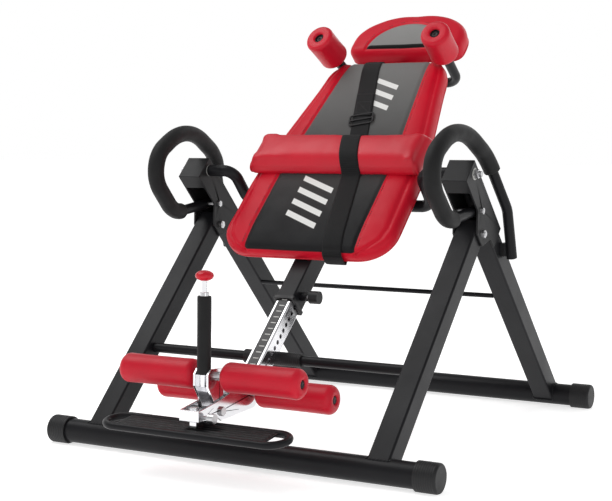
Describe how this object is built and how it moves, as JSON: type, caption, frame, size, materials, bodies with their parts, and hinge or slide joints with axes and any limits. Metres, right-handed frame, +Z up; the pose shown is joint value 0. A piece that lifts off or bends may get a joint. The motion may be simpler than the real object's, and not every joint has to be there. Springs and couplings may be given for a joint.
{
  "type": "inversion table",
  "caption": "Folding inversion table with a tilting padded bed, sliding ankle-clamp boom, looped handlebars, foot rest and foam rollers.",
  "frame": {"origin": "on the floor, under the middle of the whole table with the bed at rest", "axes": "+X across the table to the user's right as they face it from the foot end, -Y towards the foot rest, +Y towards the head, +Z up"},
  "size_m": [0.86, 1.057, 0.9115],
  "materials": {
    "frame_paint": "satin powder coat",
    "bracket_paint": "satin powder coat",
    "chrome": "polished",
    "zinc": "zinc plated",
    "black_plastic": "moulded",
    "cap_rubber": "moulded",
    "grip_foam": "closed-cell foam",
    "red_foam": "closed-cell foam",
    "pad_vinyl": "soft vinyl",
    "board": "plywood, black backing",
    "webbing": "woven",
    "red_plastic": "gloss",
    "scale_print": "printed",
    "nylon": "natural"
  },
  "bodies": {
    "rear_frame": {"rear_base_tube": "frame_paint", "rear_end_caps": "cap_rubber", "rear_leg_right": "frame_paint", "rear_leg_left": "frame_paint", "rear_stretcher": "frame_paint", "pivot_bracket_right": "bracket_paint", "pivot_bracket_left": "bracket_paint", "pivot_bushes": "nylon", "handlebar_right": "frame_paint", "handlebar_left": "frame_paint", "handlebar_grip_right": "grip_foam", "handlebar_grip_left": "grip_foam", "handlebar_saddles": "bracket_paint", "handlebar_bolts": "zinc", "leg_hinge_bolts": "zinc"},
    "front_frame": {"front_base_tube": "frame_paint", "front_end_caps": "cap_rubber", "front_leg_right": "frame_paint", "front_leg_left": "frame_paint", "front_leg_plugs": "black_plastic", "crossbar": "frame_paint", "crossbar_bumper": "cap_rubber", "leg_hinge_sleeves": "zinc"},
    "bed": {"pivot_arm_right": "frame_paint", "pivot_arm_left": "frame_paint", "pivot_pins": "zinc", "boom_outer": "frame_paint", "boom_collar": "black_plastic", "back_board": "board", "back_cushion": "pad_vinyl", "lumbar_pad": "pad_vinyl", "lumbar_strap": "webbing", "strap_buckle": "zinc", "head_post": "frame_paint", "head_board": "board", "head_cushion": "pad_vinyl", "shoulder_bar": "frame_paint", "shoulder_collars": "black_plastic", "shoulder_pad_right": "red_foam", "shoulder_pad_left": "red_foam"},
    "height_pin": {"boom_pin": "zinc", "boom_pin_knob": "black_plastic"},
    "sliding_boom": {"boom_inner": "chrome", "height_scale": "scale_print", "ankle_bracket": "chrome", "clamp_hinge_bolt": "zinc", "rear_roller_axle": "zinc"},
    "ankle_clamp": {"clamp_arm": "chrome", "lever_grip": "grip_foam", "front_roller_axle": "zinc"},
    "release": {"release_rod": "chrome", "release_knob": "red_plastic"},
    "rear_roller_r": {"rear_roller_right": "red_foam"},
    "rear_roller_l": {"rear_roller_left": "red_foam"},
    "front_roller_r": {"front_roller_right": "red_foam"},
    "front_roller_l": {"front_roller_left": "red_foam"},
    "foot_rest": {"foot_rest_loop": "frame_paint", "foot_rest_tread": "black_plastic", "foot_rest_post": "chrome"},
    "foot_rest_pin": {"foot_pin": "zinc"}
  },
  "joints": [
    {"name": "frame_fold", "type": "hinge", "parent": "rear_frame", "child": "front_frame", "pos_m": [0, 0.03328, 0.42531], "axis": [1, 0, 0], "range_deg": [0, 90]},
    {"name": "bed_pivot", "type": "hinge", "parent": "rear_frame", "child": "bed", "pos_m": [0, -0.01003, 0.546], "axis": [-1, 0, 0], "range_deg": [0, 70]},
    {"name": "height_pin_pull", "type": "slide", "parent": "bed", "child": "height_pin", "axis": [1, 0, 0], "range_m": [-0.007, 0.003]},
    {"name": "boom_height", "type": "slide", "parent": "bed", "child": "sliding_boom", "axis": [0, 0.7337, 0.6794], "range_m": [-0.06, 0.06]},
    {"name": "ankle_clamp_swing", "type": "hinge", "parent": "sliding_boom", "child": "ankle_clamp", "pos_m": [0, -0.43411, 0.11679], "axis": [1, 0, 0], "range_deg": [0, 28]},
    {"name": "release_pull", "type": "slide", "parent": "ankle_clamp", "child": "release", "axis": [0, 0.0209, 0.9998], "range_m": [0, 0.01], "stiffness_N_per_m": 600, "springref_m": -0.01},
    {"name": "rear_roller_right_spin", "type": "hinge", "parent": "sliding_boom", "child": "rear_roller_r", "pos_m": [0.1, -0.31574, 0.13331], "axis": [1, 0, 0], "continuous": true},
    {"name": "rear_roller_left_spin", "type": "hinge", "parent": "sliding_boom", "child": "rear_roller_l", "pos_m": [-0.1, -0.31574, 0.13331], "axis": [1, 0, 0], "continuous": true},
    {"name": "front_roller_right_spin", "type": "hinge", "parent": "ankle_clamp", "child": "front_roller_r", "pos_m": [0.1, -0.43576, 0.18144], "axis": [1, 0, 0], "continuous": true},
    {"name": "front_roller_left_spin", "type": "hinge", "parent": "ankle_clamp", "child": "front_roller_l", "pos_m": [-0.1, -0.43576, 0.18144], "axis": [1, 0, 0], "continuous": true},
    {"name": "foot_rest_height", "type": "slide", "parent": "sliding_boom", "child": "foot_rest", "axis": [0, 0.0209, 0.9998], "range_m": [-0.01, 0]},
    {"name": "foot_pin_pull", "type": "slide", "parent": "sliding_boom", "child": "foot_rest_pin", "axis": [1, 0, 0], "range_m": [-0.005, 0.003]}
  ]
}
